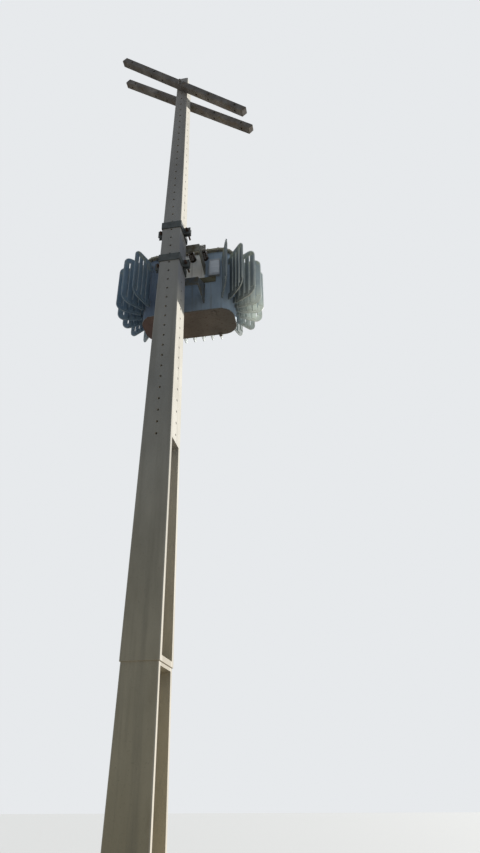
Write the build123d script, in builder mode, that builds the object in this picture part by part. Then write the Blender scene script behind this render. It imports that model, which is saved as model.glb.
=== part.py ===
from build123d import *
import os
from math import cos, hypot, radians, sin, tan

os.makedirs("parts", exist_ok=True)

# Concrete pole of H section: front and back faces are smooth, the two sides are recessed
POLE_HEIGHT = 8400
POLE_TOP_WIDTH = 110
POLE_TOP_DEPTH = 140
WIDTH_TAPER = 0.0228
DEPTH_TAPER = 0.028
POLE_BASE_WIDTH = 300
POLE_BASE_DEPTH = 375
JOINT_HEIGHT = 2390
JOINT_STEP = 6
CORNER_CHAMFER = 6
WEB_THICKNESS = 60
FLANGE_THICKNESS = 55
RECESS_DRAFT = 8
RECESS_TOP = 3911
STIFFENER_TOP = 2423
STIFFENER_HEIGHT = 57

# Bolt holes down the pole, front to back and side to side
HOLE_DIAMETER = 19
HOLE_PITCH = 100
FRONT_HOLE_DROP = 275
FRONT_HOLE_COUNT = 43
SIDE_HOLE_DROP = 125
SIDE_HOLE_COUNT = 44

# Two concrete crossarms that hang tilted on one through bolt
ARM_LENGTH = 1875
ARM_SECTION = 72
ARM_CHAMFER = 6
ARM_HOLE = 22
ARM_BOLT_DROP = 200
FRONT_ARM_TILT = 44
BACK_ARM_TILT = 41
FACE_HOLES_FROM_END = (132, 508)
UNDER_HOLES_FROM_END = (102, 488, 668)

# Bolts and nuts
BOLT_DIAMETER = 16
BOLT_CLEARANCE = 1
NUT_WIDTH = 24
NUT_HEIGHT = 13
WASHER_SIDE = 50
WASHER_THICKNESS = 4
BOLT_STICK_OUT = 18
BAND_BOLT_TAIL = 60

# Clamp bands: two bent straps with ears round the pole, at two heights
LOWER_BAND_BOTTOM = 5640
BAND_SPACING = 400
BAND_HEIGHT = 75
STRAP_THICKNESS = 8
EAR_WIDTH = 58
EAR_GAP = 22
POLE_CLEARANCE = 0.3

# Hangers: folded plates from the bands to the tank
HANGER_WIDTH = 360
HANGER_PLATE = 8
HANGER_HEIGHT = 83
HANGER_DROP = 90
LOWER_FLARE_UP = 150
UPPER_FLARE_DOWN = 50
TONGUE_WIDTH = 120

# Oil tank of the transformer, a long box with round corners
TANK_X = 22
TANK_FRONT = 370
TANK_LENGTH = 866
TANK_DEPTH = 360
TANK_CORNER = 130
TANK_BOTTOM = 5460
TANK_HEIGHT = 730
BASE_THICKNESS = 10
RIM_WIDTH = 28
RIM_THICKNESS = 12
LID_THICKNESS = 14

# Cooling fins: flat pressed panels of four channels with slots between them
FIN_HEIGHT = 550
FIN_REACH = 262
FIN_NECK = 25
NECK_HEIGHT = 70
NECK_INSET = 20
FIN_CORNER = 85
FIN_SHEET = 6
CHANNEL_COUNT = 4
CHANNEL_WIDTH = 42
CHANNEL_BULGE = 5
CHANNEL_TAPER = 40
SLOT_WIDTH = 12
SLOT_END = 62
FIN_ABOVE_BASE = 110
FAN_INSET = 155
FAN_ANGLES = (-70, -50, -30, -10, 10, 30, 50, 70)
BACK_FIN_COUNT = 6
BACK_FIN_PITCH = 90
SEAT_GAP = 0.3

# Bushings, nameplate holder and lifting lugs
LV_PITCH = 118
LV_COUNT = 4
LV_DROP = 71
LV_LENGTH = 88
LV_RADIUS = 22
LV_SHED = 9
SPADE_WIDTH = 58
SPADE_HEIGHT = 74
SPADE_THICKNESS = 8
SPADE_HOLE = 14
SPADE_RISE = 16
HV_PITCH = 230
HV_COUNT = 3
HV_SET_BACK = 95
HV_HEIGHT = 230
HV_RADIUS = 32
HV_SHED = 20
TERMINAL_RADIUS = 7
TERMINAL_LENGTH = 28
HOLDER_WIDTH = 104
HOLDER_HEIGHT = 200
HOLDER_STAND_OFF = 28
HOLDER_SHEET = 3
HOLDER_OFFSET = 271
HOLDER_DROP = 120
LUG_WIDTH = 50
LUG_REACH = 46
LUG_THICKNESS = 10
LUG_HOLE = 24
WALL_BAR_LENGTH = 564
WALL_BAR_HEIGHT = 55
WALL_BAR_THICKNESS = 12
WALL_BAR_BOTTOM = 5797

# Places that follow from the sizes above
BAND_BOTTOMS = {"lower": LOWER_BAND_BOTTOM, "upper": LOWER_BAND_BOTTOM + BAND_SPACING}
TANK_Y = TANK_FRONT + TANK_DEPTH / 2
BODY_BOTTOM = TANK_BOTTOM + BASE_THICKNESS
RIM_BOTTOM = TANK_BOTTOM + TANK_HEIGHT - RIM_THICKNESS
LID_BOTTOM = RIM_BOTTOM + RIM_THICKNESS
LID_TOP = LID_BOTTOM + LID_THICKNESS
FIN_BOTTOM = TANK_BOTTOM + FIN_ABOVE_BASE
FAN_CENTRE = TANK_LENGTH / 2 - FAN_INSET


def pole_width(z):
    """Width of the pole above its joint."""
    return POLE_TOP_WIDTH + WIDTH_TAPER * (POLE_HEIGHT - z)


def pole_depth(z):
    """Depth of the pole above its joint."""
    return POLE_TOP_DEPTH + DEPTH_TAPER * (POLE_HEIGHT - z)


def flange_line(z):
    """Distance from the pole's axis to the inner edge of a flange at height z."""
    return pole_depth(z) / 2 - FLANGE_THICKNESS


def draft_rise(z):
    """How much higher a recess's sloping end is at the pole's side than at the web."""
    return (pole_width(z) - WEB_THICKNESS) / 2 * tan(radians(RECESS_DRAFT))


def save(piece, name):
    piece.part.label = name
    export_step(piece.part, f"parts/{name}.step")


# Pole
stiffener_bottom = STIFFENER_TOP - STIFFENER_HEIGHT
recesses = (
    (STIFFENER_TOP + draft_rise(STIFFENER_TOP), RECESS_TOP - draft_rise(RECESS_TOP)),
    (-FLANGE_THICKNESS, stiffener_bottom - draft_rise(stiffener_bottom)),
)
front_hole_heights = [
    POLE_HEIGHT - FRONT_HOLE_DROP - HOLE_PITCH * i for i in range(FRONT_HOLE_COUNT)
]
side_hole_heights = [POLE_HEIGHT - SIDE_HOLE_DROP - HOLE_PITCH * i for i in range(SIDE_HOLE_COUNT)]
arm_bolt_height = POLE_HEIGHT - ARM_BOLT_DROP


def outline(low, high, low_size, high_size):
    """Four corners of a tapered length of the pole seen square on."""
    return (
        (-low_size / 2, low),
        (low_size / 2, low),
        (high_size / 2, high),
        (-high_size / 2, high),
    )


def make_length(low, high, widths, depths):
    """A tapered length of the pole between two heights, with chamfered corners."""
    with BuildPart() as length:
        with BuildSketch(Plane.XZ):
            Polygon(*outline(low, high, *widths), align=None)
        extrude(amount=POLE_BASE_DEPTH, both=True)
        with BuildSketch(Plane.YZ):
            Polygon(*outline(low, high, *depths), align=None)
        extrude(amount=POLE_BASE_WIDTH, both=True, mode=Mode.INTERSECT)
        chamfer(length.edges().filter_by(lambda e: e.length >= high - low), length=CORNER_CHAMFER)
    return length


joint_width = pole_width(JOINT_HEIGHT)
joint_depth = pole_depth(JOINT_HEIGHT)
lower_widths = (POLE_BASE_WIDTH, joint_width - 2 * JOINT_STEP)
lower_depths = (POLE_BASE_DEPTH, joint_depth - 2 * JOINT_STEP)
lower_length = make_length(0, JOINT_HEIGHT, lower_widths, lower_depths)
upper_length = make_length(
    JOINT_HEIGHT, POLE_HEIGHT, (joint_width, POLE_TOP_WIDTH), (joint_depth, POLE_TOP_DEPTH)
)

with BuildPart() as pole:
    add(lower_length.part)
    add(upper_length.part)
    for low, high in recesses:
        for side in (1, -1):
            web_face = Plane(
                origin=(side * WEB_THICKNESS / 2, 0, 0), x_dir=(0, side, 0), z_dir=(side, 0, 0)
            )
            with BuildSketch(web_face):
                Polygon(
                    (-flange_line(low), low),
                    (flange_line(low), low),
                    (flange_line(high), high),
                    (-flange_line(high), high),
                    align=None,
                )
            extrude(amount=POLE_BASE_WIDTH / 2, taper=-RECESS_DRAFT, mode=Mode.SUBTRACT)
    with BuildSketch(Plane.XZ):
        with Locations(*[(0, z) for z in front_hole_heights + [arm_bolt_height]]):
            Circle(HOLE_DIAMETER / 2)
    extrude(amount=POLE_BASE_DEPTH, both=True, mode=Mode.SUBTRACT)
    with BuildSketch(Plane.YZ):
        with Locations(*[(0, z) for z in side_hole_heights]):
            Circle(HOLE_DIAMETER / 2)
    extrude(amount=POLE_BASE_WIDTH, both=True, mode=Mode.SUBTRACT)
save(pole, "pole")


# Crossarms
def along_arm(from_end):
    """Places along an arm, from its middle, for distances in from each of its ends."""
    return [(side * (ARM_LENGTH / 2 - d), 0) for side in (-1, 1) for d in from_end]


def arm_seat(tilt):
    """Half depth of the pole at the lowest place where a tilted arm crosses its face."""
    half_rise = ARM_SECTION / 2 / cos(radians(tilt))
    half_rise += pole_width(arm_bolt_height) / 2 * tan(radians(tilt))
    return pole_depth(arm_bolt_height - half_rise) / 2 + POLE_CLEARANCE


def make_arm(side, tilt):
    """A square concrete bar on the front (side -1) or back (side 1) of the pole."""
    along = (cos(radians(tilt)), 0, -sin(radians(tilt)))
    seat = Plane(
        origin=(0, side * arm_seat(tilt), arm_bolt_height), x_dir=along, z_dir=(0, side, 0)
    )
    middle = (0, side * (arm_seat(tilt) + ARM_SECTION / 2), arm_bolt_height)
    upper_side = Plane(origin=middle, x_dir=along, z_dir=(sin(radians(tilt)), 0, cos(radians(tilt))))
    with BuildPart() as arm:
        with BuildSketch(seat):
            Rectangle(ARM_LENGTH, ARM_SECTION)
        extrude(amount=ARM_SECTION)
        chamfer(arm.edges(), length=ARM_CHAMFER)
        with BuildSketch(seat):
            with Locations((0, 0), *along_arm(FACE_HOLES_FROM_END)):
                Circle(ARM_HOLE / 2)
        extrude(amount=ARM_SECTION, mode=Mode.SUBTRACT)
        with BuildSketch(upper_side):
            with Locations(*along_arm(UNDER_HOLES_FROM_END)):
                Circle(ARM_HOLE / 2)
        extrude(amount=ARM_SECTION, both=True, mode=Mode.SUBTRACT)
    return arm


save(make_arm(-1, FRONT_ARM_TILT), "crossarm_front")
save(make_arm(1, BACK_ARM_TILT), "crossarm_back")


# Bolts that run front to back
def make_bolts(places, near, far, washer, tail):
    """A threaded bar through y near to y far at each x, z place, with a nut at both ends."""
    front_end = near - washer - NUT_HEIGHT - BOLT_STICK_OUT
    back_end = far + washer + NUT_HEIGHT + tail
    with BuildPart() as bolts:
        with BuildSketch(Plane.XZ.offset(-back_end)):
            with Locations(*places):
                Circle(BOLT_DIAMETER / 2)
        extrude(amount=back_end - front_end)
        for face, side in ((near, 1), (far, -1)):
            if washer:
                with BuildSketch(Plane.XZ.offset(-face)):
                    with Locations(*places):
                        Rectangle(WASHER_SIDE, WASHER_SIDE)
                extrude(amount=side * washer)
            with BuildSketch(Plane.XZ.offset(-face + side * washer)):
                with Locations(*places):
                    RegularPolygon(NUT_WIDTH / 2, 6, major_radius=False)
            extrude(amount=side * NUT_HEIGHT)
    return bolts


front_of_arms = -arm_seat(FRONT_ARM_TILT) - ARM_SECTION
back_of_arms = arm_seat(BACK_ARM_TILT) + ARM_SECTION
arm_bolt = make_bolts(
    [(0, arm_bolt_height)], front_of_arms, back_of_arms, WASHER_THICKNESS, BOLT_STICK_OUT
)
save(arm_bolt, "arm_bolt")


# Clamp bands
def band_inside(bottom):
    """Half width and half depth of the space inside a band whose lower edge is at bottom."""
    return (
        pole_width(bottom) / 2 + POLE_CLEARANCE,
        pole_depth(bottom) / 2 + POLE_CLEARANCE,
    )


def make_half_band(bottom, side):
    """One bent strap, on the front (side -1) or back (side 1) of the pole, with two ears."""
    half_width, half_depth = band_inside(bottom)
    outer_width = half_width + STRAP_THICKNESS
    outer_depth = half_depth + STRAP_THICKNESS
    ear_y = side * (EAR_GAP + STRAP_THICKNESS) / 2
    ear_x = outer_width + EAR_WIDTH / 2
    with BuildPart() as strap:
        with BuildSketch(Plane.XY.offset(bottom)):
            with Locations((0, side * (EAR_GAP / 2 + outer_depth) / 2)):
                Rectangle(2 * outer_width, outer_depth - EAR_GAP / 2)
            Rectangle(2 * half_width, 2 * half_depth, mode=Mode.SUBTRACT)
            with Locations((ear_x, ear_y), (-ear_x, ear_y)):
                Rectangle(EAR_WIDTH, STRAP_THICKNESS)
        extrude(amount=BAND_HEIGHT)
        with BuildSketch(Plane.XZ):
            with Locations((ear_x, bottom + BAND_HEIGHT / 2), (-ear_x, bottom + BAND_HEIGHT / 2)):
                Circle(BOLT_DIAMETER / 2 + BOLT_CLEARANCE)
        extrude(amount=EAR_GAP + STRAP_THICKNESS, both=True, mode=Mode.SUBTRACT)
    return strap


# Hangers
def make_hanger(bottom, flare_down, flare_up):
    """A plate behind the band with a tongue, and at each end a cheek that flares to the tank."""
    _, half_depth = band_inside(bottom)
    plate_y = half_depth + STRAP_THICKNESS
    plate_bottom = bottom - HANGER_DROP
    plate_top = plate_bottom + HANGER_HEIGHT
    with BuildPart() as hanger:
        with BuildSketch(Plane.XZ.offset(-plate_y)):
            with Locations((TANK_X, plate_bottom)):
                Rectangle(HANGER_WIDTH, HANGER_HEIGHT, align=(Align.CENTER, Align.MIN))
            with Locations((0, plate_bottom)):
                Rectangle(
                    TONGUE_WIDTH, HANGER_DROP + BAND_HEIGHT, align=(Align.CENTER, Align.MIN)
                )
        extrude(amount=-HANGER_PLATE)
        for side in (-1, 1):
            cheek_middle = TANK_X + side * (HANGER_WIDTH - HANGER_PLATE) / 2
            with BuildSketch(Plane.YZ.offset(cheek_middle)):
                Polygon(
                    (plate_y, plate_bottom),
                    (TANK_FRONT, plate_bottom - flare_down),
                    (TANK_FRONT, plate_top + flare_up),
                    (plate_y + HANGER_PLATE, plate_top),
                    (plate_y, plate_top),
                    align=None,
                )
            extrude(amount=HANGER_PLATE / 2, both=True)
        with BuildSketch(Plane.XZ.offset(-plate_y)):
            with Locations((0, bottom + BAND_HEIGHT / 2)):
                Circle(BOLT_DIAMETER / 2 + BOLT_CLEARANCE)
        extrude(amount=-HANGER_PLATE, mode=Mode.SUBTRACT)
    return hanger


def make_hanger_stud(bottom):
    """A stud welded to the back of the band, with the nut that holds the hanger's tongue."""
    _, half_depth = band_inside(bottom)
    root = half_depth + STRAP_THICKNESS
    with BuildPart() as stud:
        with BuildSketch(Plane.XZ.offset(-root)):
            with Locations((0, bottom + BAND_HEIGHT / 2)):
                Circle(BOLT_DIAMETER / 2)
        extrude(amount=-(HANGER_PLATE + NUT_HEIGHT + BOLT_STICK_OUT))
        with BuildSketch(Plane.XZ.offset(-root - HANGER_PLATE)):
            with Locations((0, bottom + BAND_HEIGHT / 2)):
                RegularPolygon(NUT_WIDTH / 2, 6, major_radius=False)
        extrude(amount=-NUT_HEIGHT)
    return stud


def make_band_bolts(bottom):
    """The two bolts through a band's ears and the stud behind it."""
    half_width, _ = band_inside(bottom)
    ear_x = half_width + STRAP_THICKNESS + EAR_WIDTH / 2
    grip = EAR_GAP / 2 + STRAP_THICKNESS
    places = [(x, bottom + BAND_HEIGHT / 2) for x in (-ear_x, ear_x)]
    with BuildPart() as hardware:
        add(make_bolts(places, -grip, grip, 0, BAND_BOLT_TAIL).part)
        add(make_hanger_stud(bottom).part)
    return hardware


for level, bottom in BAND_BOTTOMS.items():
    save(make_half_band(bottom, -1), f"{level}_band_front")
    save(make_half_band(bottom, 1), f"{level}_band_back")
    save(make_band_bolts(bottom), f"{level}_band_bolts")
save(make_hanger(BAND_BOTTOMS["lower"], 0, LOWER_FLARE_UP), "lower_hanger")
save(make_hanger(BAND_BOTTOMS["upper"], UPPER_FLARE_DOWN, 0), "upper_hanger")


# Tank
def tank_outline(grow):
    """The tank's plan, grown evenly by a rim, a lid or a seat gap."""
    with Locations((TANK_X, TANK_Y)):
        RectangleRounded(TANK_LENGTH + 2 * grow, TANK_DEPTH + 2 * grow, TANK_CORNER + grow)


with BuildPart() as tank_base:
    with BuildSketch(Plane.XY.offset(TANK_BOTTOM)):
        tank_outline(0)
    extrude(amount=BASE_THICKNESS)
save(tank_base, "tank_base")

with BuildPart() as tank_body:
    with BuildSketch(Plane.XY.offset(BODY_BOTTOM)):
        tank_outline(0)
    extrude(amount=RIM_BOTTOM - BODY_BOTTOM)
    with BuildSketch(Plane.XY.offset(RIM_BOTTOM)):
        tank_outline(RIM_WIDTH)
    extrude(amount=RIM_THICKNESS)
save(tank_body, "tank_body")

with BuildPart() as tank_lid:
    with BuildSketch(Plane.XY.offset(LID_BOTTOM)):
        tank_outline(RIM_WIDTH)
    extrude(amount=LID_THICKNESS)
    chamfer(tank_lid.faces().sort_by(Axis.Z)[-1].edges(), length=LID_THICKNESS / 3)
save(tank_lid, "tank_lid")


# Cooling fins
def wall_distance(angle):
    """Distance from the centre of an end fan to the tank's wall, at an angle from its long axis."""
    ahead = cos(radians(angle))
    across = abs(sin(radians(angle)))
    arc_x = TANK_LENGTH / 2 - TANK_CORNER - FAN_CENTRE
    arc_y = TANK_DEPTH / 2 - TANK_CORNER
    to_end_wall = (TANK_LENGTH / 2 - FAN_CENTRE) / ahead
    if to_end_wall * across <= arc_y:
        return to_end_wall
    along = arc_x * ahead + arc_y * across
    return along + (TANK_CORNER**2 - hypot(arc_x, arc_y) ** 2 + along**2) ** 0.5


def make_fin(x, y, direction, root):
    """A panel that stands out along direction, whose neck starts root away from point x, y."""
    ahead = (cos(radians(direction)), sin(radians(direction)), 0)
    face = Plane(origin=(x, y, FIN_BOTTOM), x_dir=ahead, z_dir=(ahead[1], -ahead[0], 0))
    inner = root + FIN_NECK
    outer = root + FIN_REACH
    pitch = (outer - inner) / CHANNEL_COUNT
    with BuildPart() as fin:
        with BuildSketch(face):
            with Locations(((inner + outer) / 2, FIN_HEIGHT / 2)):
                Rectangle(outer - inner, FIN_HEIGHT)
            fillet(vertices().sort_by(Axis.X)[-2:], FIN_CORNER)
            for neck_bottom in (NECK_INSET, FIN_HEIGHT - NECK_INSET - NECK_HEIGHT):
                with Locations((root - FIN_NECK, neck_bottom)):
                    Rectangle(2 * FIN_NECK, NECK_HEIGHT, align=(Align.MIN, Align.MIN))
            with Locations(*[(inner + pitch * i, FIN_HEIGHT / 2) for i in range(1, CHANNEL_COUNT)]):
                SlotOverall(FIN_HEIGHT - 2 * SLOT_END, SLOT_WIDTH, rotation=90, mode=Mode.SUBTRACT)
        extrude(amount=FIN_SHEET / 2, both=True)
        for side in (1, -1):
            for i in range(CHANNEL_COUNT):
                end = FIN_CORNER if i == CHANNEL_COUNT - 1 else NECK_INSET
                with BuildSketch(face.offset(side * FIN_SHEET / 2)):
                    with Locations((inner + pitch * (i + 0.5), FIN_HEIGHT / 2)):
                        Rectangle(CHANNEL_WIDTH, FIN_HEIGHT - 2 * end)
                extrude(amount=side * CHANNEL_BULGE, taper=CHANNEL_TAPER)
        with BuildSketch(Plane.XY.offset(FIN_BOTTOM)):
            tank_outline(SEAT_GAP)
        extrude(amount=FIN_HEIGHT, mode=Mode.SUBTRACT)
    return fin


for number, angle in enumerate(FAN_ANGLES, start=1):
    root = wall_distance(angle)
    save(make_fin(TANK_X + FAN_CENTRE, TANK_Y, angle, root), f"fin_right_{number}")
    save(make_fin(TANK_X - FAN_CENTRE, TANK_Y, 180 - angle, root), f"fin_left_{number}")

for number in range(BACK_FIN_COUNT):
    fin_x = TANK_X + BACK_FIN_PITCH * (number - (BACK_FIN_COUNT - 1) / 2)
    save(make_fin(fin_x, TANK_Y, 90, TANK_DEPTH / 2), f"fin_back_{number + 1}")


# Bushings
def shed_profile(length, radius, shed, count):
    """Half profile of a bushing: a flange, count cone-shaped sheds and a threaded terminal."""
    foot = length * 0.12
    pitch = (length - foot) / count
    points = [(0, 0), (radius + shed, 0), (radius + shed, foot), (radius, foot)]
    for i in range(count):
        base = foot + pitch * i
        points += [(radius, base + pitch * 0.35), (radius + shed, base + pitch * 0.45)]
        points += [(radius, base + pitch)]
    points += [(TERMINAL_RADIUS, length), (TERMINAL_RADIUS, length + TERMINAL_LENGTH)]
    points += [(0, length + TERMINAL_LENGTH), (0, 0)]
    return points


lv_height = RIM_BOTTOM - LV_DROP
with BuildPart() as lv_bushings:
    for number in range(LV_COUNT):
        x = TANK_X + LV_PITCH * (number - (LV_COUNT - 1) / 2)
        out_of_wall = Plane(origin=(x, TANK_FRONT, lv_height), x_dir=(1, 0, 0), z_dir=(0, 0, 1))
        with BuildSketch(out_of_wall):
            with BuildLine():
                Polyline(*[(r, -d) for r, d in shed_profile(LV_LENGTH, LV_RADIUS, LV_SHED, 3)])
            make_face()
        revolve(axis=Axis((x, TANK_FRONT, lv_height), (0, 1, 0)))
save(lv_bushings, "lv_bushings")

spade_back = TANK_FRONT - LV_LENGTH - TERMINAL_LENGTH
with BuildPart() as lv_terminals:
    with BuildSketch(Plane.XZ.offset(-spade_back)):
        with Locations((TANK_X, lv_height + SPADE_RISE)):
            with GridLocations(LV_PITCH, 1, LV_COUNT, 1):
                RectangleRounded(SPADE_WIDTH, SPADE_HEIGHT, SPADE_HOLE / 2)
                with Locations((0, (SPADE_HEIGHT - SPADE_WIDTH) / 2 + SPADE_HOLE)):
                    Circle(SPADE_HOLE / 2, mode=Mode.SUBTRACT)
    extrude(amount=SPADE_THICKNESS)
save(lv_terminals, "lv_terminals")

for number in range(HV_COUNT):
    x = TANK_X + HV_PITCH * (number - (HV_COUNT - 1) / 2)
    y = TANK_Y + HV_SET_BACK
    up_from_lid = Plane(origin=(x, y, LID_TOP), x_dir=(1, 0, 0), z_dir=(0, -1, 0))
    with BuildPart() as hv_bushing:
        with BuildSketch(up_from_lid):
            with BuildLine():
                Polyline(*shed_profile(HV_HEIGHT, HV_RADIUS, HV_SHED, 4))
            make_face()
        revolve(axis=Axis((x, y, LID_TOP), (0, 0, 1)))
    save(hv_bushing, f"hv_bushing_{number + 1}")


# Nameplate holder: a folded sheet that stands off the wall on two returns
holder_top = RIM_BOTTOM - HOLDER_DROP
holder_front = TANK_FRONT - HOLDER_STAND_OFF
with BuildPart() as plate_holder:
    with BuildSketch(Plane.YZ.offset(TANK_X + HOLDER_OFFSET - HOLDER_WIDTH / 2)):
        with Locations((holder_front, holder_top - HOLDER_HEIGHT)):
            Rectangle(HOLDER_STAND_OFF, HOLDER_HEIGHT, align=(Align.MIN, Align.MIN))
        with Locations((holder_front + HOLDER_SHEET, holder_top - HOLDER_HEIGHT + HOLDER_SHEET)):
            Rectangle(
                HOLDER_STAND_OFF,
                HOLDER_HEIGHT - 2 * HOLDER_SHEET,
                align=(Align.MIN, Align.MIN),
                mode=Mode.SUBTRACT,
            )
    extrude(amount=HOLDER_WIDTH)
save(plate_holder, "plate_holder")


# Lifting lugs on the two end walls, just under the rim
with BuildPart() as lifting_lugs:
    for side in (-1, 1):
        wall = TANK_X + side * TANK_LENGTH / 2
        with BuildSketch(Plane.XZ.offset(-TANK_Y - LUG_THICKNESS / 2)):
            with Locations((wall + side * LUG_REACH / 2, RIM_BOTTOM - LUG_WIDTH / 2)):
                Rectangle(LUG_REACH, LUG_WIDTH)
            with Locations((wall + side * LUG_REACH / 2, RIM_BOTTOM - LUG_WIDTH / 2)):
                Circle(LUG_HOLE / 2, mode=Mode.SUBTRACT)
        extrude(amount=LUG_THICKNESS)
save(lifting_lugs, "lifting_lugs")


# Flat bar across the front wall, between the two hangers
with BuildPart() as wall_bar:
    with BuildSketch(Plane.XZ.offset(-TANK_FRONT)):
        with Locations((TANK_X, WALL_BAR_BOTTOM)):
            Rectangle(WALL_BAR_LENGTH, WALL_BAR_HEIGHT, align=(Align.CENTER, Align.MIN))
    extrude(amount=WALL_BAR_THICKNESS)
save(wall_bar, "wall_bar")
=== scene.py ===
import math

import bpy
from mathutils import Euler, Matrix, Vector


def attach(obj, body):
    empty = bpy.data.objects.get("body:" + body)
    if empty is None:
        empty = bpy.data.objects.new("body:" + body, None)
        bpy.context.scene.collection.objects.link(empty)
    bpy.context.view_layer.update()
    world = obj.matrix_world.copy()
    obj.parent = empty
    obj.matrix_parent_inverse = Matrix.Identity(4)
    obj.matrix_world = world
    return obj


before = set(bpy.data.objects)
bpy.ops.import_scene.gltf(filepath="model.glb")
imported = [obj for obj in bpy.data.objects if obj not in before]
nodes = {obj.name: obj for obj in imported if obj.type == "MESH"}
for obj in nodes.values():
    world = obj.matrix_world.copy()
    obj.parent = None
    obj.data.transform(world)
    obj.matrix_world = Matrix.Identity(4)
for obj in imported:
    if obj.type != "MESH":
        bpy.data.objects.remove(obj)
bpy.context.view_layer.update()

# Camera, solved from the holes and edges of the pole
CAMERA_PLACE = (1.2245, -3.7889, 1.7334)
CAMERA_PITCH = 30.466
CAMERA_TURN = 9.622
CAMERA_ROLL = -0.516
CAMERA_LENS = 26.115
SENSOR = 36.0
CLIP_END = 500

# Light and stage
KEY_DIRECTION = (0.505, 0.778, 0.375)
KEY_STRENGTH = 6.6
KEY_SOFTNESS = 2.0
KEY_COLOUR = (1.0, 0.96, 0.89)
SKY_LIGHT = (0.76, 0.88, 1.0)
SKY_STRENGTH = 0.4
SEEN_SKY = (0.80, 0.82, 0.84)
SEEN_FLOOR = (0.66, 0.66, 0.66)
GROUND_BOUNCE = (0.27, 0.235, 0.185)
FLOOR_HALF = 60

# Sizes shared with the solids, in metres
JOINT_HEIGHT = 2.390
STIFFENER_EDGES = (2.325, 2.450)
STIFFENER_HALF = 0.095
TANK_X = 0.022
TANK_Y = 0.550
TANK_FRONT = 0.370
TANK_LENGTH = 0.866
TANK_DEPTH = 0.360
TANK_CORNER = 0.130
TANK_BOTTOM = 5.460
BODY_BOTTOM = 5.470
RIM_WIDTH = 0.028
RIM_BOTTOM = 6.178
LID_BOTTOM = 6.190
LID_TOP = 6.204
FIN_BOTTOM = 5.570
FIN_HEIGHT = 0.550
FIN_REACH = 0.262
FIN_NECK = 0.025
FIN_CORNER = 0.085
FIN_SHEET = 0.006
CHANNEL_COUNT = 4
SLOT_WIDTH = 0.012
SLOT_END = 0.062
NECK_HEIGHT = 0.070
NECK_INSET = 0.020
FAN_CENTRE = 0.278
FAN_ANGLES = (-70, -50, -30, -10, 10, 30, 50, 70)
BACK_FIN_COUNT = 6
BACK_FIN_PITCH = 0.090
LV_PITCH = 0.118
LV_COUNT = 4
LV_HEIGHT = 6.107
LV_FOOT_RADIUS = 0.031
LV_TIP = 0.282
SPADE_BACK = 0.254
SPADE_FRONT = 0.246
SPADE_HOLE_HEIGHT = 6.145
HV_PITCH = 0.230
HV_COUNT = 3
HV_Y = 0.645
HV_FOOT_RADIUS = 0.052
HV_TIP = 6.434
HANGER_HALF = 0.180
HANGER_PLATE = 0.008
CHEEK_HEIGHTS = ((5.550, 5.783), (5.900, 6.033))
BAR_ENDS = (-0.260, 0.304)
BAR_EDGES = (5.797, 5.852)
HOLDER_MIDDLE = (0.293, 5.958)
HOLDER_FACE = 0.342

# Sizes of the small parts made here, in metres
LID_BOLT_INSET = 0.014
LID_BOLT_PITCH = 0.099
LID_NUT = 0.017
WASHER_HEIGHT = 0.002
TERMINAL_WASHER = 0.014
SPADE_NUT = 0.019
SPADE_WASHER_HEIGHT = 0.0025
PLATE_HALVES = (0.044, 0.078)
PLATE_CORNER = 0.006
PLATE_SHEET = 0.0012
RIVET_INSET = 0.007
PAD_EDGE = 0.002
WELD_STEP = 0.007
SEAM_RADIUS = 0.0042
SLOT_EDGE = 0.0078
SLOT_EDGE_RADIUS = 0.0036

# Directions, and the corners of a rectangle in turn
CORNER_SIGNS = ((1, 1), (-1, 1), (-1, -1), (1, -1))
UP = (0, 0, 1)
DOWN = (0, 0, -1)
FORWARD = (0, -1, 0)
BACKWARD = (0, 1, 0)


def make_camera():
    data = bpy.data.cameras.new("camera")
    data.lens = CAMERA_LENS
    data.sensor_width = SENSOR
    data.clip_end = CLIP_END
    camera = bpy.data.objects.new("camera", data)
    bpy.context.scene.collection.objects.link(camera)
    turn = Euler((math.radians(90 + CAMERA_PITCH), 0, math.radians(CAMERA_TURN)))
    roll = Matrix.Rotation(math.radians(CAMERA_ROLL), 4, "Z")
    camera.matrix_world = Matrix.Translation(CAMERA_PLACE) @ turn.to_matrix().to_4x4() @ roll
    bpy.context.scene.camera = camera


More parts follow.
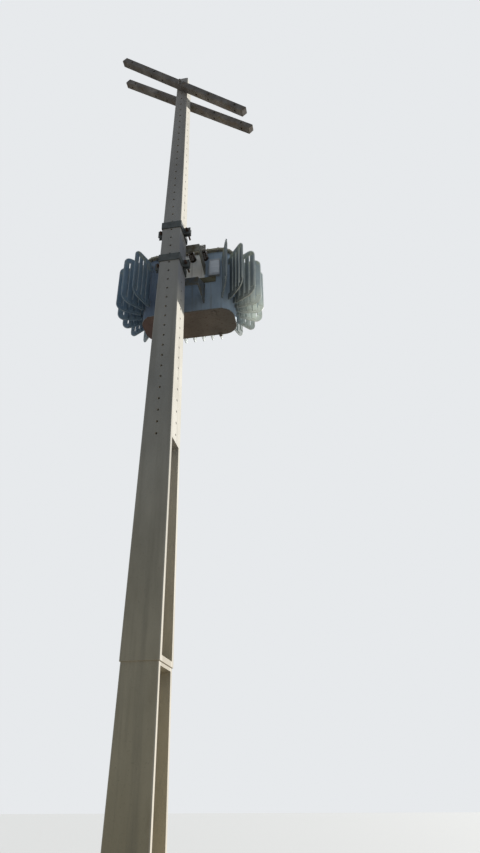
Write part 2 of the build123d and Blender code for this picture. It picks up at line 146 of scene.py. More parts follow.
# Node helpers for materials
class Shader:
    """A material's node tree, with short calls for the nodes used here."""

    def __init__(self, name, roughness, metallic=0.0, gloss=0.3):
        self.material = bpy.data.materials.new(name)
        self.material.use_nodes = True
        self.tree = self.material.node_tree
        self.surface = self.tree.nodes["Principled BSDF"]
        self.surface.inputs["Roughness"].default_value = roughness
        self.surface.inputs["Metallic"].default_value = metallic
        self.surface.inputs["Specular IOR Level"].default_value = gloss
        coordinates = self.tree.nodes.new("ShaderNodeTexCoord")
        self.place = coordinates.outputs["Object"]
        self.places = self.split(self.place)
        self.normals = self.split(coordinates.outputs["Normal"])

    def split(self, vector):
        node = self.tree.nodes.new("ShaderNodeSeparateXYZ")
        self.link(vector, node.inputs["Vector"])
        return node.outputs

    def link(self, source, target):
        self.tree.links.new(source, target)

    def put(self, value, socket):
        """Links a socket, or sets a colour or a number."""
        if hasattr(value, "is_linked"):
            self.link(value, socket)
        elif isinstance(value, tuple):
            socket.default_value = (*value, 1)
        else:
            socket.default_value = value

    def math(self, operation, first, second=0.0):
        node = self.tree.nodes.new("ShaderNodeMath")
        node.operation = operation
        self.put(first, node.inputs[0])
        self.put(second, node.inputs[1])
        return node.outputs["Value"]

    def times(self, first, second):
        return self.math("MULTIPLY", first, second)

    def rise(self, value, low, high):
        """From 0 at low to 1 at high, held at both ends. With high under low it falls."""
        node = self.tree.nodes.new("ShaderNodeMapRange")
        self.put(value, node.inputs["Value"])
        node.inputs["From Min"].default_value = low
        node.inputs["From Max"].default_value = high
        return node.outputs["Result"]

    def within(self, axis, low, high, soft):
        """1 between two places on an axis, with soft ends."""
        place = self.places[axis]
        start = self.rise(place, low - soft, low + soft)
        return self.times(start, self.rise(place, high + soft, high - soft))

    def noise(self, scale, detail=6.0, stretch=(1, 1, 1)):
        mapping = self.tree.nodes.new("ShaderNodeMapping")
        mapping.inputs["Scale"].default_value = stretch
        self.link(self.place, mapping.inputs["Vector"])
        node = self.tree.nodes.new("ShaderNodeTexNoise")
        node.inputs["Scale"].default_value = scale
        node.inputs["Detail"].default_value = detail
        node.inputs["Roughness"].default_value = 0.6
        self.link(mapping.outputs["Vector"], node.inputs["Vector"])
        return node.outputs["Fac"]

    def patches(self, scale, low, high, stretch=(1, 1, 1)):
        """Noise as patches: 0 where it is under low, 1 where it is over high."""
        return self.rise(self.noise(scale, stretch=stretch), low, high)

    def ramp(self, factor, *stops):
        """A colour ramp with (position, colour) stops."""
        node = self.tree.nodes.new("ShaderNodeValToRGB")
        elements = node.color_ramp.elements
        while len(elements) < len(stops):
            elements.new(0.5)
        for element, (position, colour) in zip(elements, stops):
            element.position = position
            element.color = (*colour, 1)
        self.link(factor, node.inputs["Fac"])
        return node.outputs["Color"]

    def tones(self, scale, dark, light):
        """Two colours mottled by noise."""
        return self.ramp(self.noise(scale), (0.3, dark), (0.7, light))

    def mix(self, factor, first, second):
        node = self.tree.nodes.new("ShaderNodeMix")
        node.data_type = "RGBA"
        self.put(factor, node.inputs["Factor"])
        self.put(first, node.inputs["A"])
        self.put(second, node.inputs["B"])
        return node.outputs["Result"]

    def layer(self, base, colour, where, strength):
        """A colour laid over the base, at a strength, where a factor is 1."""
        return self.mix(self.times(where, strength), base, colour)

    def colour(self, value):
        self.put(value, self.surface.inputs["Base Color"])

    def rough(self, value):
        self.put(value, self.surface.inputs["Roughness"])

    def bump(self, height, strength, distance):
        node = self.tree.nodes.new("ShaderNodeBump")
        node.inputs["Strength"].default_value = strength
        node.inputs["Distance"].default_value = distance
        self.link(height, node.inputs["Height"])
        self.link(node.outputs["Normal"], self.surface.inputs["Normal"])


# Materials
def concrete_front(s):
    """The smooth front face: brown at the foot and grey above, in two tones."""
    height = s.rise(s.places["Z"], 0.0, 8.0)
    dark = s.ramp(
        height,
        (0, (0.41, 0.35, 0.215)),
        (0.35, (0.29, 0.27, 0.215)),
        (0.55, (0.245, 0.245, 0.235)),
        (0.8, (0.255, 0.255, 0.255)),
        (1, (0.29, 0.28, 0.275)),
    )
    light = s.ramp(
        height,
        (0, (0.62, 0.53, 0.335)),
        (0.35, (0.43, 0.40, 0.325)),
        (0.55, (0.365, 0.365, 0.35)),
        (0.8, (0.385, 0.385, 0.385)),
        (1, (0.43, 0.42, 0.41)),
    )
    return s.mix(s.patches(2.4, 0.3, 0.7, stretch=(1, 1, 0.4)), dark, light)


def concrete_side(s):
    """The side faces: painted paler than the front as painted sunlight, paler still in the recess
    as painted bounce light, and darker beside the tank as the tank's painted shadow.
    """
    foot = s.tones(3, (0.57, 0.53, 0.46), (0.66, 0.62, 0.55))
    head = s.tones(3, (0.50, 0.485, 0.44), (0.62, 0.605, 0.56))
    side = s.mix(s.rise(s.places["Z"], 1.5, 4.0), foot, head)
    # Painted light: the recess is painted paler, standing in for light bounced into it.
    painted_recess_light = s.rise(s.math("ABSOLUTE", s.places["X"]), 0.045, 0.035)
    side = s.layer(side, (0.84, 0.75, 0.62), painted_recess_light, 0.85)
    # Painted shadow: a darker, bluer band on the side faces where the tank casts its shadow.
    painted_tank_shadow = s.within("Z", 5.33, 6.02, 0.12)
    return s.layer(side, (0.20, 0.22, 0.28), painted_tank_shadow, 0.75)


def cast_concrete():
    """Grey cast concrete: browner to the foot, and paler on the side faces, where the paler
    colour is painted sunlight.
    """
    s = Shader("cast_concrete", 0.92, gloss=0.2)
    # Painted light: the side faces take a paler colour than the front, standing in for sunlight
    # on them.
    painted_light_sides = s.rise(s.math("ABSOLUTE", s.normals["X"]), 0.6, 0.85)
    base = s.mix(painted_light_sides, concrete_front(s), concrete_side(s))
    back = s.tones(4, (0.27, 0.26, 0.235), (0.38, 0.37, 0.345))
    base = s.mix(s.rise(s.normals["Y"], 0.4, 0.7), base, back)
    streaks = s.patches(16, 0.5, 0.75, stretch=(1, 1, 0.035))
    base = s.layer(base, (0.20, 0.19, 0.16), streaks, 0.5)
    damp = s.patches(5, 0.56, 0.7, stretch=(1, 1, 0.3))
    damp = s.times(damp, s.rise(s.places["Z"], 3.4, 1.2))
    base = s.layer(base, (0.17, 0.14, 0.095), damp, 0.45)
    soft = 0.004
    # Painted shade: the stiffener's side faces are painted darker, as if shaded.
    painted_stiffener_shade = s.within("Z", *STIFFENER_EDGES, soft)
    painted_stiffener_shade = s.times(painted_stiffener_shade, s.within("Y", -STIFFENER_HALF, STIFFENER_HALF, soft))
    painted_stiffener_shade = s.times(painted_stiffener_shade, s.rise(s.normals["X"], 0.6, 0.85))
    base = s.layer(base, (0.42, 0.385, 0.325), painted_stiffener_shade, 0.7)
    # Painted light: the underside of the step at the joint is painted pale, as if lit.
    painted_ledge_light = s.within("Z", JOINT_HEIGHT - 0.010, JOINT_HEIGHT + 0.010, soft)
    painted_ledge_light = s.times(painted_ledge_light, s.rise(s.normals["Z"], -0.4, -0.8))
    base = s.mix(painted_ledge_light, base, (0.78, 0.73, 0.62))
    grain = s.noise(85, detail=8)
    s.colour(s.layer(base, (0.19, 0.18, 0.155), s.rise(grain, 0.6, 0.75), 0.6))
    s.bump(grain, 0.4, 0.003)
    return s.material


def stained_concrete():
    """Old concrete of the crossarms, dark with brown and green stains."""
    s = Shader("stained_concrete", 0.95, gloss=0.15)
    base = s.ramp(
        s.noise(6),
        (0.3, (0.11, 0.105, 0.105)),
        (0.52, (0.185, 0.175, 0.17)),
        (0.72, (0.30, 0.285, 0.275)),
    )
    base = s.layer(base, (0.15, 0.10, 0.055), s.patches(14, 0.52, 0.7), 0.6)
    moss = s.patches(21, 0.58, 0.72)
    base = s.layer(base, (0.12, 0.13, 0.06), moss, 0.5)
    grain = s.noise(120, detail=8)
    s.colour(s.layer(base, (0.34, 0.32, 0.29), s.rise(grain, 0.58, 0.75), 0.6))
    s.bump(grain, 0.6, 0.003)
    return s.material


def band_steel():
    """Old galvanised strap, dull and dark."""
    s = Shader("band_steel", 0.7, 0.2, gloss=0.25)
    base = s.tones(18, (0.055, 0.064, 0.067), (0.105, 0.12, 0.125))
    rust = s.patches(45, 0.58, 0.72)
    s.colour(s.layer(base, (0.12, 0.075, 0.045), rust, 0.5))
    s.bump(s.noise(160), 0.25, 0.001)
    return s.material


def rusty_steel():
    """Flaking rust of the clamp bolts."""
    s = Shader("rusty_steel", 0.9, gloss=0.2)
    flakes = s.noise(60)
    base = s.ramp(
        flakes,
        (0.3, (0.035, 0.027, 0.025)),
        (0.52, (0.075, 0.047, 0.038)),
        (0.75, (0.15, 0.085, 0.06)),
    )
    s.colour(base)
    s.bump(flakes, 0.6, 0.002)
    return s.material


def dull_zinc():
    """Weathered zinc on nuts, studs and spades."""
    s = Shader("dull_zinc", 0.6, 0.5)
    base = s.ramp(s.noise(70), (0.35, (0.10, 0.10, 0.095)), (0.7, (0.26, 0.26, 0.25)))
    rust = s.patches(30, 0.55, 0.7)
    s.colour(s.mix(rust, base, (0.10, 0.06, 0.035)))
    s.bump(s.noise(220), 0.2, 0.0005)
    return s.material


def bright_zinc():
    """Newer zinc on the bolts of the spades."""
    s = Shader("bright_zinc", 0.4, 0.8)
    s.colour(s.tones(80, (0.45, 0.46, 0.46), (0.7, 0.71, 0.7)))
    s.bump(s.noise(260), 0.15, 0.0004)
    return s.material


def weathered(s, base, dust):
    """Runs, dust and the slight unevenness of old brushed paint."""
    runs = s.patches(36, 0.55, 0.78, stretch=(1, 1, 0.05))
    s.colour(s.layer(base, dust, runs, 0.6))
    s.rough(s.patches(30, -0.6, 1.1))
    s.bump(s.noise(200), 0.1, 0.0008)
    return s.material


def tank_paint():
    """Blue-grey paint, with a pale panel between the hangers and a dusty rim; darker and bluer to
    the left and lighter to the right as painted shade and light.
    """
    s = Shader("tank_paint", 0.55)
    # Painted shade and light: the wall is darker and bluer towards the left end and lighter
    # towards the right end.
    along = s.rise(s.places["X"], -0.41, 0.45)
    dark = s.ramp(
        along, (0.2, (0.09, 0.125, 0.19)), (0.6, (0.14, 0.19, 0.26)), (0.9, (0.23, 0.31, 0.41))
    )
    light = s.ramp(
        along, (0.2, (0.18, 0.24, 0.34)), (0.6, (0.26, 0.34, 0.45)), (0.9, (0.42, 0.53, 0.65))
    )
    base = s.mix(s.patches(4.5, 0.3, 0.7, stretch=(1, 1, 0.6)), dark, light)
    # A pale panel on the front wall between the hangers.
    panel = s.times(s.within("X", -0.150, 0.196, 0.006), s.within("Z", 5.856, 6.170, 0.006))
    panel = s.times(panel, s.rise(s.places["Y"], TANK_FRONT + 0.006, TANK_FRONT + 0.002))
    pale_panel_tones = s.tones(9, (0.80, 0.81, 0.81), (0.90, 0.91, 0.91))
    base = s.mix(panel, base, pale_panel_tones)
    rim = s.within("Z", RIM_BOTTOM - 0.004, LID_TOP + 0.002, 0.002)
    base = s.mix(rim, base, s.tones(12, (0.26, 0.25, 0.19), (0.46, 0.44, 0.36)))
    return weathered(s, base, (0.17, 0.17, 0.16))


def fin_paint():
    """Grey-green paint of the fins, with lichen near their top ends, and painted light and shade:
    bluer and darker to the left, lighter to the right, a painted sunlit patch low on the right
    fins, painted shade on their slopes that face the tank, and paler back fins as painted
    sunlight.
    """
    s = Shader("fin_paint", 0.5)
    # Painted shade and light: bluer fins to the left, darkest near x 0.35, and lighter towards
    # the right end.
    along = s.rise(s.places["X"], -0.4, 0.75)
    dark = s.ramp(
        along,
        (0.1, (0.108, 0.172, 0.255)),
        (0.65, (0.066, 0.092, 0.12)),
        (0.8, (0.16, 0.20, 0.23)),
        (1, (0.32, 0.375, 0.42)),
    )
    light = s.ramp(
        along,
        (0.1, (0.205, 0.295, 0.395)),
        (0.65, (0.15, 0.20, 0.24)),
        (0.8, (0.38, 0.45, 0.485)),
        (1, (0.62, 0.685, 0.72)),
    )
    base = s.mix(s.patches(5, 0.3, 0.7, stretch=(1, 1, 0.5)), dark, light)
    # Painted sunlight: the low outer parts of the right fins, on faces not turned to the tank,
    # are painted near white.
    painted_sunlit_low = s.times(s.rise(s.places["X"], 0.44, 0.62), s.rise(s.places["Z"], 5.80, 5.64))
    outward = s.rise(s.normals["X"], -0.8, -0.05)
    base = s.layer(base, (0.84, 0.90, 0.85), s.times(painted_sunlit_low, outward), 0.95)
    # Painted shade: the slopes of the right fins that face the tank are painted darker.
    painted_slope_shade = s.times(s.rise(s.places["X"], 0.38, 0.5), s.rise(s.normals["X"], -0.1, -0.75))
    base = s.layer(base, (0.04, 0.055, 0.06), painted_slope_shade, 0.6)
    # Painted sunlight: the back fins are painted paler.
    base = s.layer(base, (0.52, 0.57, 0.55), s.rise(s.places["Y"], 0.74, 0.80), 0.5)
    lichen = s.times(s.patches(13, 0.45, 0.62), s.rise(s.places["Z"], 5.92, 6.1))
    base = s.layer(base, (0.44, 0.45, 0.30), lichen, 0.7)
    return weathered(s, base, (0.20, 0.22, 0.21))


def seam_paint():
    """The fins' paint, painted lighter along the welded seams and slot rims as a painted
    highlight.
    """
    s = Shader("seam_paint", 0.45)
    # Painted light: the seams are darker to the left and near white to the right.
    along = s.rise(s.places["X"], -0.4, 0.75)
    dark = s.ramp(along, (0.1, (0.33, 0.40, 0.45)), (0.9, (0.70, 0.76, 0.73)))
    light = s.ramp(along, (0.1, (0.50, 0.57, 0.61)), (0.9, (0.86, 0.90, 0.86)))
    s.colour(s.mix(s.patches(24, 0.3, 0.7), dark, light))
    s.bump(s.noise(180), 0.2, 0.0006)
    return s.material


def weld_paint():
    """Painted weld beads with rust coming through."""
    s = Shader("weld_paint", 0.7)
    base = s.ramp(s.noise(40), (0.35, (0.16, 0.19, 0.21)), (0.7, (0.30, 0.34, 0.37)))
    s.colour(s.mix(s.patches(28, 0.56, 0.66), base, (0.16, 0.085, 0.045)))
    s.bump(s.noise(240), 0.4, 0.001)
    return s.material


def hanger_steel():
    """Dark painted plate, paler on the upper hanger, and olive where the paint has gone."""
    s = Shader("hanger_steel", 0.8, gloss=0.2)
    lower = s.tones(9, (0.06, 0.072, 0.085), (0.15, 0.175, 0.20))
    upper = s.tones(9, (0.13, 0.13, 0.12), (0.28, 0.28, 0.25))
    base = s.mix(s.rise(s.places["Z"], 5.85, 5.89), lower, upper)
    s.colour(s.mix(s.patches(15, 0.5, 0.68), base, (0.115, 0.10, 0.065)))
    s.bump(s.noise(110), 0.3, 0.0012)
    return s.material


def olive_bar():
    """Flat bar gone olive-brown."""
    s = Shader("olive_bar", 0.85, gloss=0.2)
    base = s.tones(12, (0.10, 0.10, 0.065), (0.19, 0.185, 0.13))
    s.colour(s.mix(s.patches(40, 0.55, 0.7), base, (0.13, 0.075, 0.04)))
    s.bump(s.noise(110), 0.3, 0.0012)
    return s.material


def rusty_base():
    """Underside of the tank: brown rust, redder at one end."""
    s = Shader("rusty_base", 0.9, gloss=0.2)
    along = s.rise(s.places["X"], -0.35, 0.42)
    dark = s.ramp(
        along, (0, (0.105, 0.08, 0.085)), (0.35, (0.135, 0.115, 0.105)), (1, (0.13, 0.125, 0.12))
    )
    light = s.ramp(
        along, (0, (0.165, 0.115, 0.11)), (0.35, (0.19, 0.16, 0.145)), (1, (0.17, 0.165, 0.16))
    )
    base = s.mix(s.patches(8, 0.3, 0.7), dark, light)
    s.colour(s.mix(s.patches(55, 0.56, 0.72), base, (0.10, 0.075, 0.055)))
    s.bump(s.noise(90), 0.3, 0.0015)
    return s.material


def brown_porcelain():
    """Glazed brown porcelain of the bushings."""
    s = Shader("brown_porcelain", 0.25, gloss=0.5)
    s.colour(s.tones(25, (0.030, 0.020, 0.014), (0.060, 0.036, 0.024)))
    s.surface.inputs["Coat Weight"].default_value = 0.4
    return s.material


def black_rubber():
    """Rubber of the gaskets."""
    s = Shader("black_rubber", 0.8, gloss=0.2)
    s.colour(s.tones(60, (0.02, 0.02, 0.02), (0.045, 0.045, 0.042)))
    s.bump(s.noise(150), 0.2, 0.0006)
    return s.material


def holder_sheet():
    """Galvanised sheet with faint spangle."""
    s = Shader("holder_sheet", 0.6, 0.2)
    base = s.tones(18, (0.29, 0.325, 0.375), (0.40, 0.44, 0.49))
    spangle = s.patches(60, 0.5, 0.7)
    s.colour(s.layer(base, (0.30, 0.33, 0.37), spangle, 0.4))
    s.bump(s.noise(300), 0.1, 0.0005)
    return s.material


def bare_plate():
    """Brushed aluminium of the bare nameplate."""
    s = Shader("bare_plate", 0.5, 0.5)
    brush = s.noise(160, stretch=(0.06, 1, 1))
    s.colour(s.ramp(brush, (0.3, (0.30, 0.335, 0.385)), (0.7, (0.42, 0.46, 0.51))))
    s.bump(brush, 0.1, 0.0003)
    return s.material


CONCRETE = cast_concrete()
ARM_CONCRETE = stained_concrete()
BAND_STEEL = band_steel()
RUST = rusty_steel()
ZINC = dull_zinc()
BRIGHT_ZINC = bright_zinc()
TANK_PAINT = tank_paint()
FIN_PAINT = fin_paint()
SEAM_PAINT = seam_paint()
WELD_PAINT = weld_paint()
HANGER_STEEL = hanger_steel()
OLIVE_BAR = olive_bar()
BASE_RUST = rusty_base()
PORCELAIN = brown_porcelain()
RUBBER = black_rubber()
HOLDER_SHEET = holder_sheet()
BARE_PLATE = bare_plate()

# The first start that fits a node's name gives its material
FINISHES = (
    ("pole", CONCRETE),
    ("crossarm", ARM_CONCRETE),
    ("arm_bolt", ZINC),
    ("upper_band_bolts", RUST),
    ("lower_band_bolts", RUST),
    ("upper_band", BAND_STEEL),
    ("lower_band", BAND_STEEL),
    ("upper_hanger", HANGER_STEEL),
    ("lower_hanger", HANGER_STEEL),
    ("tank_base", BASE_RUST),
    ("tank", TANK_PAINT),
    ("fin", FIN_PAINT),
    ("lv_terminals", ZINC),
    ("lv", PORCELAIN),
    ("wall_bar", OLIVE_BAR),
    ("hv", PORCELAIN),
    ("plate_holder", HOLDER_SHEET),
    ("lifting_lugs", TANK_PAINT),
)


def dress_nodes():
    """Gives each CAD node its material."""
    for name, node in nodes.items():
        finish = next(material for start, material in FINISHES if name.startswith(start))
        node.data.materials.clear()
        node.data.materials.append(finish)


# Paths and rings
def divided(start, end, step):
    """Points from start to end, about step apart."""
    start, end = Vector(start), Vector(end)
    count = max(2, round((end - start).length / step))
    return [start.lerp(end, i / count) for i in range(count + 1)]


def circle(middle, radius, axis, count=24):
    """Points round a circle that faces along an axis."""
    ahead = Vector(axis).normalized()
    aside = ahead.orthogonal().normalized()
    across = ahead.cross(aside)
    turns = [2 * math.pi * i / count for i in range(count)]
    return [Vector(middle) + radius * (math.cos(t) * aside + math.sin(t) * across) for t in turns]


def arc(middle, radius, start, end, step):
    """Pairs of coordinates along an arc, from a start to an end angle in degrees."""
    turns = [math.radians(turn) for turn in range(start, end + 1, step)]
    return [(middle[0] + radius * math.cos(t), middle[1] + radius * math.sin(t)) for t in turns]


def rounded(middle, halves, radius, count):
    """Pairs of coordinates round a rectangle whose corners are arcs of count steps."""
    pairs = []
    for quarter, (sign_a, sign_b) in enumerate(CORNER_SIGNS):
        corner_a = middle[0] + sign_a * (halves[0] - radius)
        corner_b = middle[1] + sign_b * (halves[1] - radius)
        for i in range(count + 1):
            turn = math.pi / 2 * (quarter + i / count)
            pairs.append((corner_a + radius * math.cos(turn), corner_b + radius * math.sin(turn)))
    return pairs


def tank_outline(grow, height, step):
    """Points round the tank's plan, grown evenly, about step apart."""
    radius = TANK_CORNER + grow
    halves = (TANK_LENGTH / 2 + grow, TANK_DEPTH / 2 + grow)
    count = max(4, round(radius * math.pi / 2 / step))
    pairs = rounded((TANK_X, TANK_Y), halves, radius, count)
    path = [Vector((x, y, height)) for x, y in pairs]
    filled = []
    for here, following in zip(path, path[1:] + path[:1]):
        long = (following - here).length > 1.5 * step
        filled += divided(here, following, step)[:-1] if long else [here]
    return filled


def row(pitch, count):
    """Places along X of a row that is centred on the tank."""
    return [TANK_X + pitch * (number - (count - 1) / 2) for number in range(count)]


# Mesh helper for the small parts
class Builder:
    """Gathers turned shapes and beads into one piece."""

    def __init__(self):
        self.points = []
        self.faces = []

    def ring(self, points):
        start = len(self.points)
        self.points += points
        return range(start, start + len(points))

    def join(self, first, second):
        count = len(first)
        for i in range(count):
            j = (i + 1) % count
            self.faces.append((first[i], first[j], second[j], second[i]))

    def tube(self, rings, closed=False):
        """Skins a row of rings, and closes its ends or joins the last ring to the first."""
        for first, second in zip(rings, rings[1:]):
            self.join(first, second)
        if closed:
            self.join(rings[-1], rings[0])
        else:
            self.faces.append(tuple(reversed(rings[0])))
            self.faces.append(tuple(rings[-1]))

    def turned(self, place, axis, profile, sides=6):
        """A shape turned round an axis through place, from (radius, distance) pairs."""
        ahead = Vector(axis).normalized()
        rings = []
        for radius, distance in profile:
            middle = Vector(place) + ahead * distance
            rings.append(self.ring(circle(middle, radius, axis, sides)))
        self.tube(rings)

    def nut(self, place, axis, across, height):
        """A hexagon nut or head with worn corners, that stands on place."""
        corner = across / math.sqrt(3)
        profile = [
            (corner * 0.93, 0),
            (corner, height * 0.12),
            (corner, height * 0.8),
            (corner * 0.86, height),
        ]
        self.turned(place, axis, profile)

    def washer(self, place, axis, radius, height=WASHER_HEIGHT):
        profile = [(radius, 0), (radius, height * 0.7), (radius * 0.94, height)]
        self.turned(place, axis, profile, sides=16)

    def thread(self, place, axis, radius, length):
        """A threaded end as a row of shallow ridges."""
        count = 2 * max(2, round(length / 0.003))
        profile = [(radius * (0.9 if i % 2 else 1), length * i / count) for i in range(count)]
        self.turned(place, axis, profile + [(radius * 0.8, length)], sides=10)

    def bead(self, path, radius, closed=False, ripple=0.0):
        """A round bead along a path. With ripple its thickness varies, as a weld's does."""
        path = [Vector(p) for p in path]
        count = len(path)
        turns = [math.pi * k / 3 for k in range(6)]
        rings = []
        for i, point in enumerate(path):
            before = path[i - 1] if closed or i else point
            after = path[(i + 1) % count] if closed or i < count - 1 else point
            ahead = (after - before).normalized()
            aside = ahead.cross(Vector((0.31, 0.17, 0.93))).normalized()
            across = ahead.cross(aside)
            size = radius * (1 + ripple * math.sin(i * 2.4) * math.cos(i * 0.9))
            spots = [point + size * (math.cos(t) * aside + math.sin(t) * across) for t in turns]
            rings.append(self.ring(spots))
        self.tube(rings, closed)

    def finish(self, name, material, slot=None):
        """Makes the piece, on the part's one body."""
        mesh = bpy.data.meshes.new(name)
        mesh.from_pydata([tuple(p) for p in self.points], [], self.faces)
        mesh.validate()
        mesh.materials.append(material)
        piece = bpy.data.objects.new(name, mesh)
        bpy.context.scene.collection.objects.link(piece)
        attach(piece, "root")


# Tank details
def make_lid_bolts():
    """Bolts through the rim and the lid, with nuts under the rim."""
    head_height, nut_height = 0.007, 0.009
    bolts = Builder()
    for spot in tank_outline(LID_BOLT_INSET, 0, LID_BOLT_PITCH):
        x, y = spot.x, spot.y
        bolts.washer((x, y, LID_TOP), UP, 0.0105)
        bolts.nut((x, y, LID_TOP + WASHER_HEIGHT), UP, LID_NUT, head_height)
        bolts.nut((x, y, RIM_BOTTOM), DOWN, LID_NUT, nut_height)
        bolts.thread((x, y, RIM_BOTTOM - nut_height), DOWN, 0.005, 0.009)
    bolts.finish("lid_bolts", ZINC, "zinc_steel")


def make_gaskets():
    """Rubber that shows between rim and lid and round the bushings' feet."""
    gaskets = Builder()
    gaskets.bead(tank_outline(RIM_WIDTH - 0.0004, LID_BOTTOM, 0.04), 0.0016, closed=True)
    for x in row(LV_PITCH, LV_COUNT):
        foot = circle((x, TANK_FRONT - 0.001, LV_HEIGHT), LV_FOOT_RADIUS, BACKWARD)
        gaskets.bead(foot, 0.002, closed=True)
    for x in row(HV_PITCH, HV_COUNT):
        foot = circle((x, HV_Y, LID_TOP + 0.001), HV_FOOT_RADIUS, UP)
        gaskets.bead(foot, 0.0025, closed=True)
    gaskets.finish("gaskets", RUBBER)


def make_terminal_nuts():
    """Nuts that hold the spades to the studs, and pairs of nuts on the high voltage studs."""
    lv_nut, lv_nut_height, lv_overlap = 0.024, 0.011, 0.004
    hv_nut, hv_nut_height, hv_second_nut = 0.022, 0.009, 0.013
    hardware = Builder()
    for x in row(LV_PITCH, LV_COUNT):
        nut_y = LV_TIP - lv_overlap
        hardware.nut((x, nut_y, LV_HEIGHT), FORWARD, lv_nut, lv_nut_height)
        hardware.washer((x, nut_y - lv_nut_height, LV_HEIGHT), FORWARD, TERMINAL_WASHER)
    for x in row(HV_PITCH, HV_COUNT):
        hardware.washer((x, HV_Y, HV_TIP), UP, TERMINAL_WASHER)
        for rise in (WASHER_HEIGHT, hv_second_nut):
            hardware.nut((x, HV_Y, HV_TIP + rise), UP, hv_nut, hv_nut_height)
    hardware.finish("terminal_nuts", ZINC, "terminal_metal")


def make_spade_bolts():
    """A bright bolt with a washer, a nut and a threaded end in the hole of each spade."""
    head_height, nut_height = 0.008, 0.010
    bolts = Builder()
    for x in row(LV_PITCH, LV_COUNT):
        face = (x, SPADE_FRONT, SPADE_HOLE_HEIGHT)
        head = (x, SPADE_FRONT - SPADE_WASHER_HEIGHT, SPADE_HOLE_HEIGHT)
        bolts.washer(face, FORWARD, 0.012, SPADE_WASHER_HEIGHT)
        bolts.nut(head, FORWARD, SPADE_NUT, head_height)
        bolts.nut((x, SPADE_BACK, SPADE_HOLE_HEIGHT), BACKWARD, SPADE_NUT, nut_height)
        bolt_end = (x, SPADE_BACK + nut_height, SPADE_HOLE_HEIGHT)
        bolts.thread(bolt_end, BACKWARD, 0.006, 0.012)
    bolts.finish("spade_bolts", BRIGHT_ZINC, "terminal_metal")


def make_nameplate():
    """A bare plate with round corners and four rivets on the holder's face."""
    front = HOLDER_FACE - PLATE_SHEET
    plate = Builder()
    outline = rounded(HOLDER_MIDDLE, PLATE_HALVES, PLATE_CORNER, 4)
    back_ring = plate.ring([Vector((x, HOLDER_FACE, z)) for x, z in outline])
    front_ring = plate.ring([Vector((x, front, z)) for x, z in outline])
    plate.join(back_ring, front_ring)
    plate.faces.append(tuple(front_ring))
    plate.finish("nameplate", BARE_PLATE, "holder_sheet")
    rivets = Builder()
    for sign_x, sign_z in CORNER_SIGNS:
        x = HOLDER_MIDDLE[0] + sign_x * (PLATE_HALVES[0] - RIVET_INSET)
        z = HOLDER_MIDDLE[1] + sign_z * (PLATE_HALVES[1] - RIVET_INSET)
        profile = [(0.0032, 0), (0.0028, 0.0011), (0.0016, 0.0018)]
        rivets.turned((x, front, z), FORWARD, profile, sides=12)
    rivets.finish("nameplate_rivets", BRIGHT_ZINC, "holder_sheet")


def make_base_pads():
    """A small earthing pad under the base and a lug at its back edge."""
    earthing_pad = ((0.283, 0.422), (0.018, 0.034), 0.010)
    back_lug = ((0.283, 0.722), (0.014, 0.016), 0.016)
    pads = Builder()
    for (x, y), halves, height in (earthing_pad, back_lug):
        bottom = TANK_BOTTOM - height
        rings = []
        for inset, z in ((0, TANK_BOTTOM), (0, bottom + PAD_EDGE), (PAD_EDGE, bottom)):
            a, b = halves[0] - inset, halves[1] - inset
            corners = [(x + sign_x * a, y + sign_y * b, z) for sign_x, sign_y in CORNER_SIGNS]
            rings.append(pads.ring(corners))
        for first, second in zip(rings, rings[1:]):
            pads.join(first, second)
        pads.faces.append(tuple(rings[-1]))
    pads.finish("base_pads", BASE_RUST, "rusty_base")


def make_welds():
    """Weld beads at the base's edge, the hangers' cheeks and the wall bar."""
    welds = Builder()
    welds.bead(tank_outline(0.0005, BODY_BOTTOM, 0.012), 0.003, closed=True, ripple=0.25)
    for side in (-1, 1):
        for inset in (0, HANGER_PLATE):
            x = TANK_X + side * (HANGER_HALF - inset)
            for low, high in CHEEK_HEIGHTS:
                path = divided((x, TANK_FRONT, low), (x, TANK_FRONT, high), WELD_STEP)
                welds.bead(path, 0.0035, ripple=0.3)
    start, end = BAR_ENDS
    for z in BAR_EDGES:
        path = divided((start, TANK_FRONT, z), (end, TANK_FRONT, z), WELD_STEP)
        welds.bead(path, 0.003, ripple=0.3)
    welds.finish("welds", WELD_PAINT, "tank_paint")


# Fins
def wall_distance(angle):
    """Distance from an end fan's centre to the tank's wall, at an angle from the long axis."""
    ahead = math.cos(math.radians(angle))
    across = abs(math.sin(math.radians(angle)))
    arc_x = TANK_LENGTH / 2 - TANK_CORNER - FAN_CENTRE
    arc_y = TANK_DEPTH / 2 - TANK_CORNER
    to_end_wall = (TANK_LENGTH / 2 - FAN_CENTRE) / ahead
    if to_end_wall * across <= arc_y:
        return to_end_wall
    along = arc_x * ahead + arc_y * across
    return along + (TANK_CORNER**2 - math.hypot(arc_x, arc_y) ** 2 + along**2) ** 0.5


def fin_places():
    """Centre, direction and root of each fin, as in the solids."""
    for angle in FAN_ANGLES:
        root = wall_distance(angle)
        yield (TANK_X + FAN_CENTRE, TANK_Y), angle, root
        yield (TANK_X - FAN_CENTRE, TANK_Y), 180 - angle, root
    for x in row(BACK_FIN_PITCH, BACK_FIN_COUNT):
        yield (x, TANK_Y), 90, TANK_DEPTH / 2


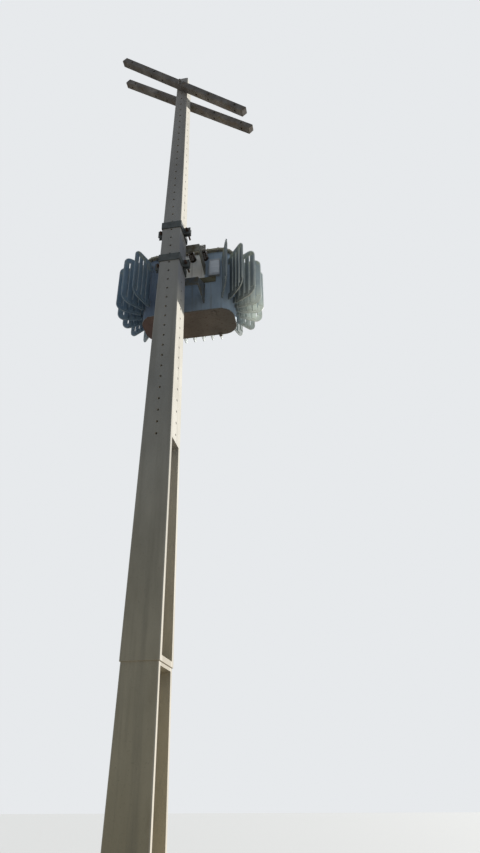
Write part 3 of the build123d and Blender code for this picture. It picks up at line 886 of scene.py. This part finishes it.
def fin_edge(root):
    """Pairs of reach and height along a fin's outer seam."""
    inner = root + FIN_NECK + SEAM_RADIUS
    outer = root + FIN_REACH - SEAM_RADIUS
    low, high = SEAM_RADIUS, FIN_HEIGHT - SEAM_RADIUS
    radius = FIN_CORNER - SEAM_RADIUS
    bottom_corner = arc((outer - radius, low + radius), radius, -90, 0, 10)
    top_corner = arc((outer - radius, high - radius), radius, 0, 90, 10)
    return [(inner, low), *bottom_corner, *top_corner, (inner, high)]


def slot_rims(root):
    """Pairs of reach and height round each slot between a fin's channels."""
    pitch = (FIN_REACH - FIN_NECK) / CHANNEL_COUNT
    end = SLOT_END + SLOT_WIDTH / 2
    for number in range(1, CHANNEL_COUNT):
        middle = root + FIN_NECK + pitch * number
        top = arc((middle, FIN_HEIGHT - end), SLOT_EDGE, 0, 180, 30)
        yield top + arc((middle, end), SLOT_EDGE, 180, 360, 30)


def make_fin_seams():
    """The seam round each fin, its slots' rims, and the beads where its necks meet the tank."""
    seams = Builder()
    edges = Builder()
    welds = Builder()
    half = FIN_SHEET / 2 + 0.001
    for (x, y), direction, root in fin_places():
        turn = math.radians(direction)
        ahead = Vector((math.cos(turn), math.sin(turn), 0))
        aside = Vector((-ahead.y, ahead.x, 0))
        foot = Vector((x, y, FIN_BOTTOM))

        def spot(out, up, off=0.0):
            return foot + ahead * out + aside * off + Vector((0, 0, up))

        seams.bead([spot(*pair) for pair in fin_edge(root)], SEAM_RADIUS, closed=True)
        for rim in slot_rims(root):
            edges.bead([spot(*pair) for pair in rim], SLOT_EDGE_RADIUS, closed=True)
        for low in (NECK_INSET, FIN_HEIGHT - NECK_INSET - NECK_HEIGHT):
            high = low + NECK_HEIGHT
            pairs = ((low, -half), (high, -half), (high, half), (low, half))
            corners = [spot(root, up, off) for up, off in pairs]
            loop = []
            for start, end in zip(corners, corners[1:] + corners[:1]):
                loop += divided(start, end, 0.01)[:-1]
            welds.bead(loop, 0.003, closed=True, ripple=0.25)
    seams.finish("fin_seams", SEAM_PAINT, "fin_paint")
    edges.finish("fin_slot_edges", SEAM_PAINT, "fin_paint")
    welds.finish("fin_welds", WELD_PAINT, "fin_paint")


# Stage and light
def seen_rays(tree):
    """1 for rays from the camera, from gloss and through glass, which see the pale studio."""
    path = tree.nodes.new("ShaderNodeLightPath")
    value = path.outputs["Is Camera Ray"]
    for kind in ("Is Glossy Ray", "Is Transmission Ray"):
        node = tree.nodes.new("ShaderNodeMath")
        node.operation = "MAXIMUM"
        tree.links.new(value, node.inputs[0])
        tree.links.new(path.outputs[kind], node.inputs[1])
        value = node.outputs["Value"]
    return value


def make_stage():
    """A wide floor: pale to look at, with the earthy bounce of the ground on the object."""
    mesh = bpy.data.meshes.new("floor")
    corners = [(sign_x * FLOOR_HALF, sign_y * FLOOR_HALF, 0) for sign_x, sign_y in CORNER_SIGNS]
    mesh.from_pydata(corners, [], [(0, 1, 2, 3)])
    floor = bpy.data.objects.new("floor", mesh)
    bpy.context.scene.collection.objects.link(floor)
    s = Shader("pale_floor", 0.95, gloss=0.1)
    s.colour(s.mix(seen_rays(s.tree), GROUND_BOUNCE, SEEN_FLOOR))
    mesh.materials.append(s.material)


def make_key():
    """One distant lamp, high behind the part and to its right."""
    data = bpy.data.lights.new("key", "SUN")
    data.energy = KEY_STRENGTH
    data.angle = math.radians(KEY_SOFTNESS)
    data.color = KEY_COLOUR
    lamp = bpy.data.objects.new("key", data)
    bpy.context.scene.collection.objects.link(lamp)
    lamp.rotation_euler = Vector(KEY_DIRECTION).to_track_quat("Z", "Y").to_euler()


def make_world():
    """Soft light from all round, and a pale backdrop to look at."""
    world = bpy.data.worlds.new("world")
    bpy.context.scene.world = world
    world.use_nodes = True
    tree = world.node_tree
    light = tree.nodes["Background"]
    light.inputs["Color"].default_value = (*SKY_LIGHT, 1)
    light.inputs["Strength"].default_value = SKY_STRENGTH
    seen = tree.nodes.new("ShaderNodeBackground")
    seen.inputs["Color"].default_value = (*SEEN_SKY, 1)
    mix = tree.nodes.new("ShaderNodeMixShader")
    tree.links.new(seen_rays(tree), mix.inputs["Fac"])
    tree.links.new(light.outputs["Background"], mix.inputs[1])
    tree.links.new(seen.outputs["Background"], mix.inputs[2])
    tree.links.new(mix.outputs["Shader"], tree.nodes["World Output"].inputs["Surface"])


make_camera()
dress_nodes()
make_lid_bolts()
make_gaskets()
make_terminal_nuts()
make_spade_bolts()
make_nameplate()
make_base_pads()
make_welds()
make_fin_seams()
make_stage()
make_key()
make_world()
bpy.context.scene.view_settings.view_transform = "Standard"
